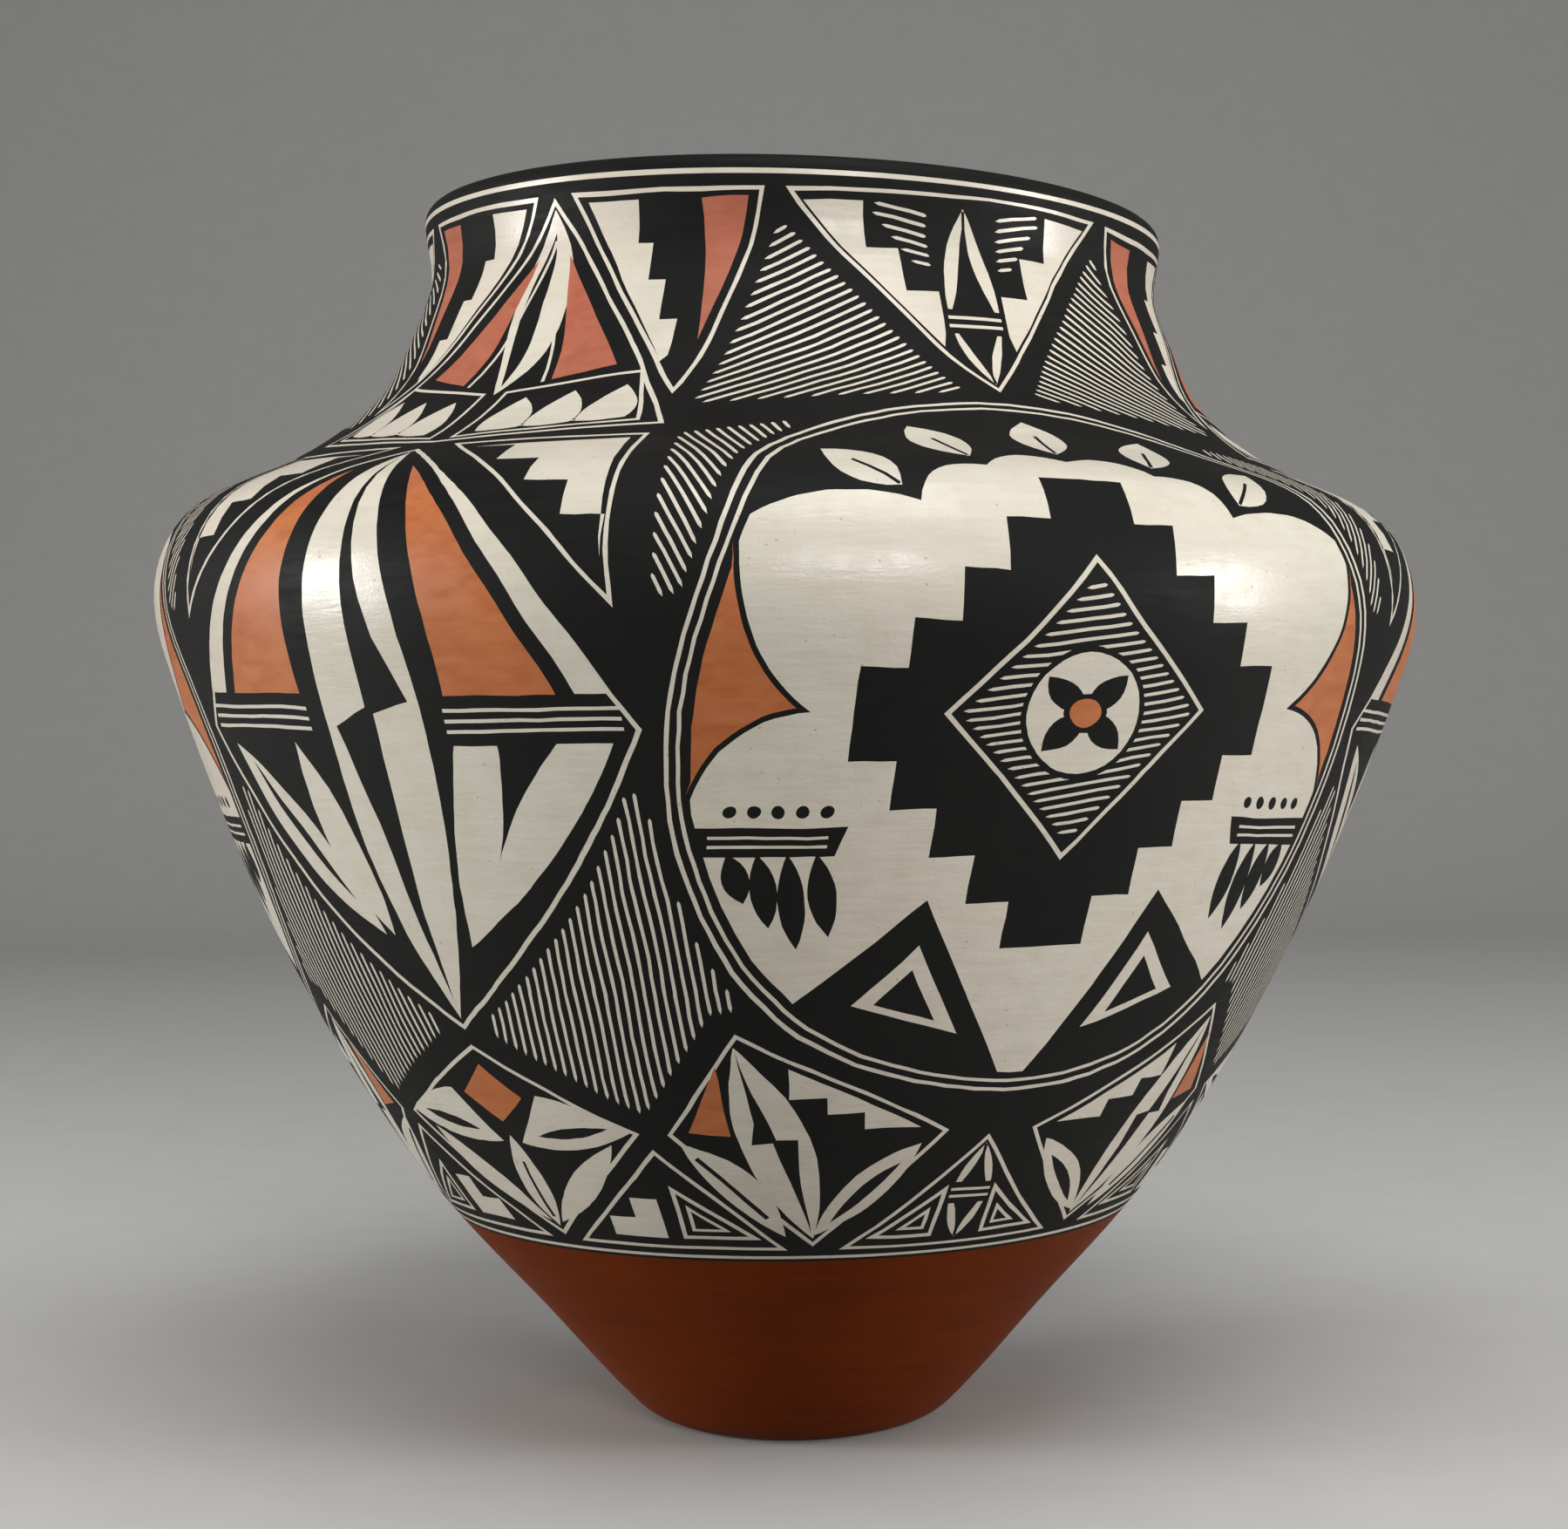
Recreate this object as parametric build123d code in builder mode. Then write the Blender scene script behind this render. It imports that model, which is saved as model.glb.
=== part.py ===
"""Coil-built pottery water jar: a pressed base bowl, coil courses laid on its edge, and a rim coil."""

import os

from build123d import *

os.makedirs("parts", exist_ok=True)

# Outside form. The origin is the centre of the foot, on the surface that the jar stands on.
height = 320
belly_radius = 165
belly_height = 218
neck_radius = 96
neck_below_rim = 18
rim_radius = 97.5
heel_radius = 43
heel_height = 5
foot_radius = 31
foot_ring_width = 8
underside_rise = 3

# Way of the lower wall from the heel (0, 0) to the belly (1, 1), across and up
lower_wall_shares = ((0.21, 0.135), (0.36, 0.23), (0.625, 0.45), (0.83, 0.69), (0.965, 0.9))
# Way of the shoulder from the belly (0, 0) to the neck (1, 1), across and up
shoulder_shares = ((0.12, 0.24), (0.39, 0.36), (0.68, 0.51), (0.845, 0.66), (0.93, 0.82))

# Thickness of the clay
floor_thickness = 10
heel_wall = 9
lower_wall = 7.5
belly_wall = 6.5
neck_wall = 6
lip_wall = 7
walls = (heel_wall, lower_wall, belly_wall, neck_wall, lip_wall)
# Places along the outside curve where each of these is reached
wall_place_shares = (0, 0.35, 0.68, 0.90, 1)
# Place of the base bowl where its inside comes out of the bend at the floor
bend_end_share = 0.05

# Coils, as lengths of wall measured along the outside curve
base_bowl_wall = 70
rim_coil_wall = 18
# How much lower each seam lies on the inside, where the next coil laps the one below
lap = 8
lower_wall_coil_count = 5
belly_coil_count = 2
shoulder_coil_count = 3
neck_coil_count = 1


def way_points(start, end, shares):
    """Points from start to end, each at its shares of the way across and up."""
    return [
        (start[0] + (end[0] - start[0]) * across, start[1] + (end[1] - start[1]) * up)
        for across, up in shares
    ]


def wall_at(place):
    """Thickness of the wall at a share of the outside curve."""
    for index, end in enumerate(wall_place_shares[1:]):
        if place <= end:
            start = wall_place_shares[index]
            part_way = (place - start) / (end - start)
            return walls[index] + (walls[index + 1] - walls[index]) * part_way
    return walls[-1]


heel = (heel_radius, heel_height)
belly = (belly_radius, belly_height)
neck = (neck_radius, height - neck_below_rim)
lip = (rim_radius, height - lip_wall / 2)

with BuildLine() as outside:
    Spline(
        heel,
        *way_points(heel, belly, lower_wall_shares),
        belly,
        *way_points(belly, neck, shoulder_shares),
        neck,
        lip,
        tangents=((1, 1), (0, 1)),
    )
outer = outside.edge()


def outside_at(place):
    """Point of the outside curve."""
    return outer.position_at(place)


def inside_at(place):
    """Point on the inside of the wall, square to the outside curve at a place."""
    tangent = outer.tangent_at(place)
    return outer.position_at(place) + Vector(-tangent.Y, tangent.X) * wall_at(place)


def lapped(place):
    """Where a seam that starts at a place outside comes out inside, a lap lower."""
    return place - lap / outer.length


def seam(place):
    """Slanted seam through the wall, which gives each coil a wider bed than a square edge would."""
    Line(outside_at(place), inside_at(lapped(place)))


def strip(curve_at, low, high):
    """One face of a coil: an arc between two places on a curve."""
    ThreePointArc(curve_at(low), curve_at((low + high) / 2), curve_at(high))


def export_ring(name, section):
    """One piece of the wall, turned about the jar's axis from its section."""
    with BuildPart() as piece:
        with BuildSketch(Plane.XZ):
            add(section.sketch)
        revolve(axis=Axis.Z)
    piece.part.label = name
    export_step(piece.part, f"parts/{name}.step")


def base_bowl_section(high):
    """Everything below the first seam: the wall, the heel, the foot ring and the hollowed underside."""
    ring_inside = foot_radius - foot_ring_width
    floor_height = underside_rise + floor_thickness
    with BuildSketch() as section:
        with BuildLine():
            Line(inside_at(lapped(high)), inside_at(bend_end_share))
            TangentArc(
                inside_at(bend_end_share),
                (ring_inside, floor_height),
                tangent=(1, 0),
                tangent_from_first=False,
            )
            Polyline(
                (ring_inside, floor_height),
                (0, floor_height),
                (0, underside_rise),
                (ring_inside, 0),
                (foot_radius, 0),
                heel,
                outside_at(high),
            )
            seam(high)
        make_face()
    return section


def coil_section(low, high):
    """The strip of wall between two seams."""
    with BuildSketch() as section:
        with BuildLine():
            strip(outside_at, low, high)
            seam(high)
            strip(inside_at, lapped(low), lapped(high))
            seam(low)
        make_face()
    return section


def rim_coil_section(low):
    """Everything above the last seam, ending in the rounded lip."""
    with BuildSketch() as section:
        with BuildLine():
            Line(outside_at(low), lip)
            ThreePointArc(lip, (rim_radius - lip_wall / 2, height), inside_at(1))
            Line(inside_at(1), inside_at(lapped(low)))
            seam(low)
        make_face()
    return section


coil_names = [
    f"{zone}_{turn + 1}"
    for zone, count in (
        ("lower_wall_coil", lower_wall_coil_count),
        ("belly_coil", belly_coil_count),
        ("shoulder_coil", shoulder_coil_count),
        ("neck_coil", neck_coil_count),
    )
    for turn in range(count)
]
first_seam = base_bowl_wall / outer.length
last_seam = 1 - rim_coil_wall / outer.length
coil_share = (last_seam - first_seam) / len(coil_names)

# Base bowl: pressed in a dish, with a heel, a flat foot ring and a hollowed underside
export_ring("base_bowl", base_bowl_section(first_seam))

# Coil courses, each lapped inside the edge of the one below
for index, coil_name in enumerate(coil_names):
    coil_start = first_seam + coil_share * index
    export_ring(coil_name, coil_section(coil_start, coil_start + coil_share))

# Rim coil, ending in the rounded lip
export_ring("rim_coil", rim_coil_section(last_seam))
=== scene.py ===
import cmath
import math
import random

import bpy
import numpy as np
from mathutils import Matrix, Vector
from mathutils.geometry import delaunay_2d_cdt


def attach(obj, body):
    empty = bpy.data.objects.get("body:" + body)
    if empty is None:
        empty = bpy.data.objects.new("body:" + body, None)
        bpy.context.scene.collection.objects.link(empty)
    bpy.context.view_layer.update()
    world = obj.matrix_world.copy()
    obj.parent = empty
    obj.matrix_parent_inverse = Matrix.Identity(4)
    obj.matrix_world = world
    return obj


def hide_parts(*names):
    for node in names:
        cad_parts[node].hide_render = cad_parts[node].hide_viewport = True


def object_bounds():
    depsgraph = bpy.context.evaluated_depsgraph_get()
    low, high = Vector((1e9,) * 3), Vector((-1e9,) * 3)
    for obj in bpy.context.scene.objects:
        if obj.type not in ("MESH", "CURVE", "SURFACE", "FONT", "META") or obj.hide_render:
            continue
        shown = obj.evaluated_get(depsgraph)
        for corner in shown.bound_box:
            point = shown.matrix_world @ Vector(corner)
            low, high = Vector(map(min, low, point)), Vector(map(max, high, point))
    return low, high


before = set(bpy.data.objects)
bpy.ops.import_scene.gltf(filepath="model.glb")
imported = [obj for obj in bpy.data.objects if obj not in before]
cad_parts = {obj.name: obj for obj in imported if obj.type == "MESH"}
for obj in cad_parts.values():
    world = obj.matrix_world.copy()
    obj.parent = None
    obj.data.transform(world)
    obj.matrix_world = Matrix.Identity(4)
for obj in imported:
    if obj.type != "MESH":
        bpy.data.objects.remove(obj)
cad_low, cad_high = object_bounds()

# The jar is laid out in mm and made in metres
MM = 0.001

# Form of the wall, as it is turned in the frame: across and up from the centre of the foot
HEIGHT = cad_high.z / MM
BELLY = (cad_high.x / MM, 218)
NECK = (96, HEIGHT - 18)
RIM_RADIUS = 97.5
HEEL = (43, 5)
FOOT_RADIUS = 31
FOOT_RING_WIDTH = 8
UNDERSIDE_RISE = 3
FLOOR_THICKNESS = 10
LOWER_WALL_SHARES = ((0.21, 0.135), (0.36, 0.23), (0.625, 0.45), (0.83, 0.69), (0.965, 0.9))
SHOULDER_SHARES = ((0.12, 0.24), (0.39, 0.36), (0.68, 0.51), (0.845, 0.66), (0.93, 0.82))
WALLS = (9, 7.5, 6.5, 6, 7)
WALL_PLACE_SHARES = (0, 0.35, 0.68, 0.90, 1)
LIP_WALL = WALLS[-1]
LAP = 8
# Share of the wall at which the base bowl's inside comes out of its bend at the floor
BEND_END_SHARE = 0.05

# Rings of clay, from the base bowl's edge up
BASE_BOWL_WALL = 70
RIM_COIL_WALL = 18
COIL_NAMES = (
    [f"lower_wall_coil_{turn}" for turn in range(1, 6)]
    + [f"belly_coil_{turn}" for turn in range(1, 3)]
    + [f"shoulder_coil_{turn}" for turn in range(1, 4)]
    + ["neck_coil_1"]
)

# How far the black paint of the rim reaches down inside
LIP_PAINT_INSIDE = 3

# Steps of the meshes round the jar, and the turn that brings the design's middle to the right of the front
STEPS_ROUND = 120
STEP_DEGREES = 360 / STEPS_ROUND
FRONT_TURN = 24
ROWS_PER_COIL = 7
RIM_ROWS = 6

# The painted design is one tile, laid three times round the jar
TILES = 3
TILE = 360 / TILES
HALF_TILE = TILE / 2

COLOURS = ("white", "black", "orange", "red", "clay")
CLAY = COLOURS.index("clay")

# Places nearer than these, in mm or degrees, count as on a line, at one angle and as one place
ON_LINE = 1e-3
SAME_ANGLE = 1e-4
TINY = 1e-6


def way_points(start, end, shares):
    """Points from start to end, each at its shares of the way across and up."""
    return [
        (start[0] + (end[0] - start[0]) * across, start[1] + (end[1] - start[1]) * up)
        for across, up in shares
    ]


def smooth_curve(points, first_way, last_way, samples=1500):
    """Smooth curve through points, with its direction given at both ends, as many close points."""
    points = np.array(points, float)
    steps = np.linalg.norm(np.diff(points, axis=0), axis=1)
    count = len(points)
    ways = np.zeros((count, 2))
    matrix = np.zeros((count, count))
    matrix[0, 0] = matrix[-1, -1] = 1
    ways[0] = np.array(first_way) / np.linalg.norm(first_way)
    ways[-1] = np.array(last_way) / np.linalg.norm(last_way)
    for k in range(1, count - 1):
        before, after = steps[k - 1], steps[k]
        matrix[k, k - 1:k + 2] = after, 2 * (before + after), before
        rise = after / before * (points[k] - points[k - 1])
        ways[k] = 3 * (rise + before / after * (points[k + 1] - points[k]))
    ways = np.linalg.solve(matrix, ways)
    knots = np.concatenate(([0], np.cumsum(steps)))
    where = np.linspace(0, knots[-1], samples)
    k = np.clip(np.searchsorted(knots, where, side="right") - 1, 0, count - 2)
    step = steps[k][:, None]
    t = (where - knots[k])[:, None] / step
    return (
        (2 * t**3 - 3 * t**2 + 1) * points[k]
        + (t**3 - 2 * t**2 + t) * step * ways[k]
        + (3 * t**2 - 2 * t**3) * points[k + 1]
        + (t**3 - t**2) * step * ways[k + 1]
    )


LIP = (RIM_RADIUS, HEIGHT - LIP_WALL / 2)
outer = smooth_curve(
    [HEEL, *way_points(HEEL, BELLY, LOWER_WALL_SHARES), BELLY,
     *way_points(BELLY, NECK, SHOULDER_SHARES), NECK, LIP],
    (1, 1),
    (0, 1),
)
outer_up = np.concatenate(([0], np.cumsum(np.linalg.norm(np.diff(outer, axis=0), axis=1))))
WALL_LENGTH = outer_up[-1]
FIRST_SEAM = BASE_BOWL_WALL
LAST_SEAM = WALL_LENGTH - RIM_COIL_WALL
SEAMS = np.linspace(FIRST_SEAM, LAST_SEAM, len(COIL_NAMES) + 1)


def radius_at(up):
    """Radius of the outside at a distance up the wall from the heel."""
    return np.interp(up, outer_up, outer[:, 0])


def height_at(up):
    """Height of the outside above the foot at a distance up the wall."""
    return np.interp(up, outer_up, outer[:, 1])


def mm_per_degree(up):
    """Length of one degree round the jar."""
    return radius_at(up) * math.pi / 180


def inside_at(up):
    """Radius and height on the inside of the wall, square to the outside."""
    stretch = 0.5
    across = radius_at(up + stretch) - radius_at(up - stretch)
    rise = height_at(up + stretch) - height_at(up - stretch)
    wall = np.interp(up / WALL_LENGTH, WALL_PLACE_SHARES, WALLS) / np.hypot(across, rise)
    return radius_at(up) - rise * wall, height_at(up) + across * wall


def placed(degrees, radius, height):
    """Points of the jar, in mm, from places given round it, across and up."""
    angle = np.radians(degrees + FRONT_TURN)
    return np.stack([radius * np.sin(angle), -radius * np.cos(angle), height + 0 * angle], axis=-1)


def soft_rise(value, low, high):
    """0 below low, 1 above high and a soft rise between."""
    share = np.clip((value - low) / (high - low), 0, 1)
    return share * share * (3 - 2 * share)


# How the clay has settled: the shoulder and rim hang lower on the right, the neck leans there, and the
# wall is pressed in unevenly. Each begins at the first of its heights and is whole at the second. The
# drops are what they come to for each stretch to the right of the rim's left edge
SHOULDER_DROP = 2.48
SHOULDER_DROP_HEIGHTS = (120, 240)
RIM_DROP = 1.92
RIM_DROP_HEIGHTS = (235, 320)
DROP_STRETCH = 100
NECK_LEAN = 3.3
NECK_LEAN_HEIGHTS = (215, 300)
PRESSED_IN = 0.35
PRESSED_HEIGHTS = (20, 100)
# Near the axis, nearer than this, the wall counts as this far out
PRESSED_RADIUS = 20
# Waves of the pressing: size, number round the jar, start, and mm of height for one radian
PRESSED_WAVES = ((1, 2, 0.7, 90), (0.7, 3, -1.1, -60), (0.5, 5, 0, 37), (0.3, 8, 0, -21))


def settled(points):
    """The points, in mm, moved to where the hand-built wall really stands."""
    x, y, z = points[:, 0], points[:, 1], points[:, 2]
    angle = np.arctan2(y, x)
    waves = sum(
        size * np.sin(turns * angle + start + z / climb) for size, turns, start, climb in PRESSED_WAVES
    )
    most = sum(size for size, *_ in PRESSED_WAVES)
    pressed = PRESSED_IN * soft_rise(z, *PRESSED_HEIGHTS) * (most - waves) / (2 * most)
    shrunk = 1 - pressed / np.maximum(np.hypot(x, y), PRESSED_RADIUS)
    drop = SHOULDER_DROP * soft_rise(z, *SHOULDER_DROP_HEIGHTS) + RIM_DROP * soft_rise(z, *RIM_DROP_HEIGHTS)
    lean = NECK_LEAN * soft_rise(z, *NECK_LEAN_HEIGHTS)
    return np.stack([x * shrunk + lean, y * shrunk, z - (x + RIM_RADIUS) / DROP_STRETCH * drop], axis=-1)


# Drawing on the wall laid flat. Layers are shapes of paint, from the ground up, each with its colour
layers = []
# Straight sides are cut into stretches of at most this length, and curves into shorter ones
LONGEST_STRETCH = 5
CURVE_STRETCH = 2.2
FEWEST_CURVE_STEPS = 8
# Where the ways of both sides add up to less than this, a corner is too sharp to be drawn in
SHARPEST_CORNER = 0.3
# Widths of a painter's lines and of the gaps between them
LINE = 1.0
FINE_LINE = 0.8
EDGE_GAP = 0.9
HATCH_PITCH = 2.3
HATCH_GAP = 1.9
SHORTEST_HATCH = 3.5


def at(across, up):
    """A point of the flat wall, in mm across and up the wall, as one complex number."""
    return complex(across, up)


def mix(a, b, share):
    """The point a share of the way from a to b."""
    return a + (b - a) * share


def across_of(a, b):
    """Way of length 1, square to the line from a to b, on its left."""
    return (b - a) / abs(b - a) * 1j


def sides(outline):
    """The sides of a closed outline, each as its two ends."""
    return zip(outline, outline[1:] + outline[:1])


def stretched(outline):
    """The outline with its long sides cut into short stretches."""
    out = []
    for start, end in sides(outline):
        pieces = max(1, math.ceil(abs(end - start) / LONGEST_STRETCH))
        out += [mix(start, end, k / pieces) for k in range(pieces)]
    return out


def bowed(a, b, bow, lean=0.0):
    """Arc from a to b that stands out by bow on the left of the way. Lean moves its peak towards b."""
    peak = mix(a, b, 0.5 + lean) + across_of(a, b) * 2 * bow
    count = max(FEWEST_CURVE_STEPS, math.ceil(abs(b - a) / CURVE_STRETCH))
    return [mix(mix(a, peak, t), mix(peak, b, t), t) for t in np.linspace(0, 1, count + 1)]


def joined(*lines):
    """One outline from lines that each start where the one before ends."""
    return [point for line in lines for point in line[:-1]]


def leaf(a, b, left, right=None):
    """Pointed leaf from a to b, with its widths on both sides of the line between them."""
    return joined(bowed(a, b, left), bowed(b, a, left if right is None else right))


def oval(centre, width, height, start, end, step):
    """Part of an oval, from one angle to another."""
    angles = np.radians(np.linspace(start, end, max(2, round(abs(end - start) / step) + 1)))
    return [centre + at(width * math.cos(t), height * math.sin(t)) for t in angles]


def flight(a, b, count, across_first=True):
    """Steps from a to b."""
    step = (b - a) / count
    tread = step.real if across_first else 1j * step.imag
    return [p for k in range(count) for p in (a + step * k, a + step * k + tread)] + [b]


def on_side(outline, side):
    """The outline as it is on the right of the meridian (side 1), or mirrored on its left (side -1)."""
    return [at(side * p.real, p.imag) for p in outline]


def inset(outline, distance):
    """The outline drawn in by a distance on every side. Corners that are too sharp for that are cut off."""
    points = [p for p, q in sides(outline) if abs(q - p) > TINY]
    area = sum((p.conjugate() * q).imag for p, q in sides(points))
    turn = 1j if area > 0 else -1j
    out = []
    for before, here, after in zip(points[-1:] + points[:-1], points, points[1:] + points[:1]):
        both = ((here - before) / abs(here - before) + (after - here) / abs(after - here)) * turn
        if abs(both) >= SHARPEST_CORNER:
            out.append(here + both / abs(both) ** 2 * 2 * distance)
    return out


def hatch_line(left, right, level):
    """One hatching line, which starts fine and ends blunt."""
    taper = min(1.2, (right - left) / 3)
    half = FINE_LINE / 2
    lower = [
        at(left + taper, level - half), at(right - taper * 0.5, level - half), at(right, level - half * 0.3),
    ]
    upper = [at(p.real, 2 * level - p.imag) for p in lower[::-1]]
    return [at(left, level), *lower, *upper]


class Patch:
    """A stretch of wall laid flat about a meridian. Flipped, it runs the other way round the jar."""

    def __init__(self, meridian=0, flipped=False):
        self.meridian = meridian
        self.way = -1 if flipped else 1

    def flat(self, *places):
        """Points for places given as degrees and mm up the wall."""
        return [at((deg - self.meridian) * mm_per_degree(up), up) for deg, up in places]

    def places(self, outline):
        """Degrees and mm up the wall of the points of an outline."""
        return [(self.meridian + p.real / mm_per_degree(p.imag), p.imag) for p in outline]

    def fill(self, colour, outline):
        """Brushes one shape of colour on the wall, over what is there."""
        layers.append((colour, [(self.way * deg, up) for deg, up in self.places(stretched(outline))]))

    def line(self, points, width=LINE, colour="white"):
        """A brushed line along points."""
        left, right = [], []
        for k, here in enumerate(points):
            way = points[min(k + 1, len(points) - 1)] - points[max(k - 1, 0)]
            side = way / abs(way) * 1j * width / 2
            left.append(here + side)
            right.append(here - side)
        self.fill(colour, left + right[::-1])

    def panel(self, outline, width=LINE):
        """A black field with a white outline."""
        self.fill("white", inset(outline, EDGE_GAP))
        self.fill("black", inset(outline, EDGE_GAP + width))

    def hatching(self, outline, way, gap=HATCH_GAP, pitch=HATCH_PITCH):
        """Fine white lines that run in one direction, in degrees, and stop short of the outline."""
        turn = cmath.rect(1, -math.radians(way))
        field = [p * turn for p in inset(outline, gap)]
        low, high = min(p.imag for p in field), max(p.imag for p in field)
        rows = int((high - low) / pitch)
        start = low + ((high - low) - rows * pitch) / 2
        for row in range(rows + 1):
            level = start + row * pitch
            cuts = sorted(
                p.real + (q.real - p.real) * (level - p.imag) / (q.imag - p.imag)
                for p, q in sides(field)
                if (p.imag - level) * (q.imag - level) < 0
            )
            for left, right in zip(cuts[::2], cuts[1::2]):
                if right - left > SHORTEST_HATCH:
                    self.fill("white", [p / turn for p in hatch_line(left, right, level)])

    def edged(self, outline, edge, outer="white", inner="black"):
        """A shape with an outline in another colour."""
        self.fill(outer, outline)
        self.fill(inner, inset(outline, edge))

    def nested(self, outline):
        """A white-edged triangle in another, with hatching in the inner one."""
        self.edged(outline, 1.1)
        inner = inset(outline, 2.7)
        self.edged(inner, EDGE_GAP)
        self.hatching(inner, 0, 1.6, 2.0)

    def bars(self, a, b, count=2, apart=2.1, width=FINE_LINE):
        """Fine white lines side by side along the line from a to b."""
        side = across_of(a, b) * apart
        for k in range(count):
            shift = side * (k - (count - 1) / 2)
            self.line([a + shift, b + shift], width)

    def split_leaf(self, a, b, width, share=0.6):
        """A long leaf in two parts with bars between them, each part opened by a black flame."""
        waist = mix(a, b, share)
        half = across_of(a, b) * width / 2 * 4 * share * (1 - share) * 1.06
        left, right = waist + half, waist - half
        self.fill("white", leaf(a, b, width / 2))
        for tip, curl in ((a, 1), (b, -1)):
            bow = -curl * width * 0.10
            self.fill("black", bowed(tip, left, bow) + bowed(right, tip, bow))
            self.line([mix(tip, waist, 0.02), mix(tip, waist, 0.6)], FINE_LINE, "black")
        clear = (b - a) / abs(b - a) * 3.2
        self.fill("black", [left - clear, right - clear, right + clear, left + clear])
        self.bars(left, right)

    def bolt_leaf(self, a, b, half, size=0.85):
        """A white leaf with a black bolt down its middle."""
        self.fill("white", leaf(a, b, half))
        bolt = (
            (0.02, 0), (0.22, -0.22), (0.36, -0.5), (0.455, -0.95), (0.475, -0.08), (0.8, 0), (0.97, 0),
            (0.8, 0.24), (0.65, 0.46), (0.495, 0.95), (0.465, 0.1), (0.25, 0),
        )
        side = across_of(a, b)
        self.fill("black", [mix(a, b, along) - side * (across * half * size) for along, across in bolt])

    def feather(self, a, b, white, black, start, end):
        """A white leaf with a narrow black one in it, from a share of its length to another."""
        self.fill("white", leaf(a, b, *white))
        self.fill("black", leaf(mix(a, b, start), mix(a, b, end), *black))

    def drops(self, a, b, count, height):
        """Pointed white drops on the left of the line from a to b, with small dashes between them."""
        up = across_of(a, b) * height
        step = (b - a) / count
        for k in range(count):
            foot = a + step * (k + 0.5)
            left, tip, right = foot - step * 0.44, foot + up, foot + step * 0.44
            self.fill("white", joined(
                bowed(left, tip, height * 0.17, -0.15), bowed(tip, right, height * 0.15, 0.15),
                bowed(right, left, height * 0.04),
            ))
            if k:
                gap = a + step * k + up / abs(up) * 1.2
                self.bars(gap - step * 0.12, gap + step * 0.12, 2, 1.3, 0.5)


def both_ways(meridian=0):
    """The same stretch of wall on both sides of the tile's middle."""
    return Patch(meridian), Patch(meridian, flipped=True)


# Ends of the painted zone up the wall: colour, and where each band begins and ends
BANDS = (
    ("red", FIRST_SEAM - 1, 71),
    ("black", 70.4, WALL_LENGTH + 1),
    ("white", 71.4, 72.4),
    ("white", 377.2, 378.4),
)
# Where panels stand on the lower line and hang from the upper one
PANEL_FOOT = 73.6
PANEL_TOP = 375.4

# Middle, width and height of the large round field, and the meridian of the column beside it
FIELD = at(0, 218)
FIELD_WIDE = 91
FIELD_HIGH = 97
BESIDE = 60
# Rings of its rim: colour, and how far each is drawn in from the edge
FIELD_RINGS = (("white", 0), ("black", 1.0), ("white", 2.6), ("black", 3.5), ("white", 5.4))
# Black and orange shapes on its white ground begin under the inner black ring
UNDER_RING = 4.6


def zone_lines():
    """The ground of the painted zone and the lines that bound it."""
    degrees = np.arange(-HALF_TILE, HALF_TILE + 1, STEP_DEGREES)
    for colour, low, high in BANDS:
        layers.append((colour, [(deg, low) for deg in degrees] + [(deg, high) for deg in degrees[::-1]]))


def field_edge(drawn_in, start=0, end=355, step=5):
    """The round field's edge, drawn in by some mm, from one angle to another."""
    return oval(FIELD, FIELD_WIDE - drawn_in, FIELD_HIGH - drawn_in, start, end, step)


def in_field(across, up):
    """A point given from the round field's middle."""
    return FIELD + at(across, up)


def round_field():
    """The large round field: double white lines round a white ground, and what is painted on it."""
    middle = Patch()
    for colour, drawn_in in FIELD_RINGS:
        middle.fill(colour, field_edge(drawn_in))
    for p in both_ways():
        crescent(p)
        cap(p)
        hill(p)
        rain(p)
    cap_leaf(middle, 90)
    cloud(middle)


def crescent(p):
    """An orange shape at the side of the round field."""
    edge = field_edge(UNDER_RING, -14, 25, 4)
    point = in_field(60, 0)
    inner = bowed(edge[-1], point, 6)[1:] + bowed(point, edge[0], 6)[1:-1]
    p.edged(edge + inner, 1.3, "black", "orange")


def cap(p):
    """Half of a black cap with a scalloped lower edge and leaves."""
    edge = field_edge(UNDER_RING, 27, 90, 4)
    cusps = [in_field(58 * math.cos(t), 63 * math.sin(t)) for t in np.radians((90, 69, 48))] + [edge[0]]
    p.fill("black", joined(edge + cusps[:1], *(bowed(a, b, 4.5) for a, b in zip(cusps, cusps[1:]))))
    for angle in (69, 48):
        cap_leaf(p, angle)


def cap_leaf(p, angle):
    """A white leaf with a black vein in the cap over the white ground."""
    across, rise = math.cos(math.radians(angle)), math.sin(math.radians(angle))
    foot = in_field(across * 63, rise * 68)
    tip = in_field(across * 82, rise * 88)
    p.fill("white", leaf(foot, tip, 6.4))
    p.line([mix(foot, tip, 0.03), mix(foot, tip, 0.62)], LINE, "black")


def hill(p):
    """A black hill with one triangle in another, at the foot of the white ground."""
    p.fill("black", field_edge(UNDER_RING, -88, -50, 4) + [in_field(29, -45)])
    p.fill("white", [in_field(16, -80), in_field(29, -56), in_field(42, -71)])
    p.fill("black", [in_field(22, -76), in_field(29.5, -62), in_field(37, -71)])


def rain(p):
    """A row of dots over a black band with bars, and leaves that hang from it."""
    for k in range(5):
        p.fill("black", oval(in_field(54 + 5.2 * k, -23.3), 1.5, 1.5, 0, 330, 30))
    p.fill("black", [in_field(49, -27), in_field(82.4, -27), in_field(80, -33.8), in_field(51, -33.8)])
    p.bars(in_field(53, -30.4), in_field(79, -30.4), width=0.7)
    for k, reach in enumerate((20, 23, 18, 12)):
        top = in_field(55 + 6.5 * k, -33)
        p.fill("black", leaf(top, top - at(5, reach), 3))


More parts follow.
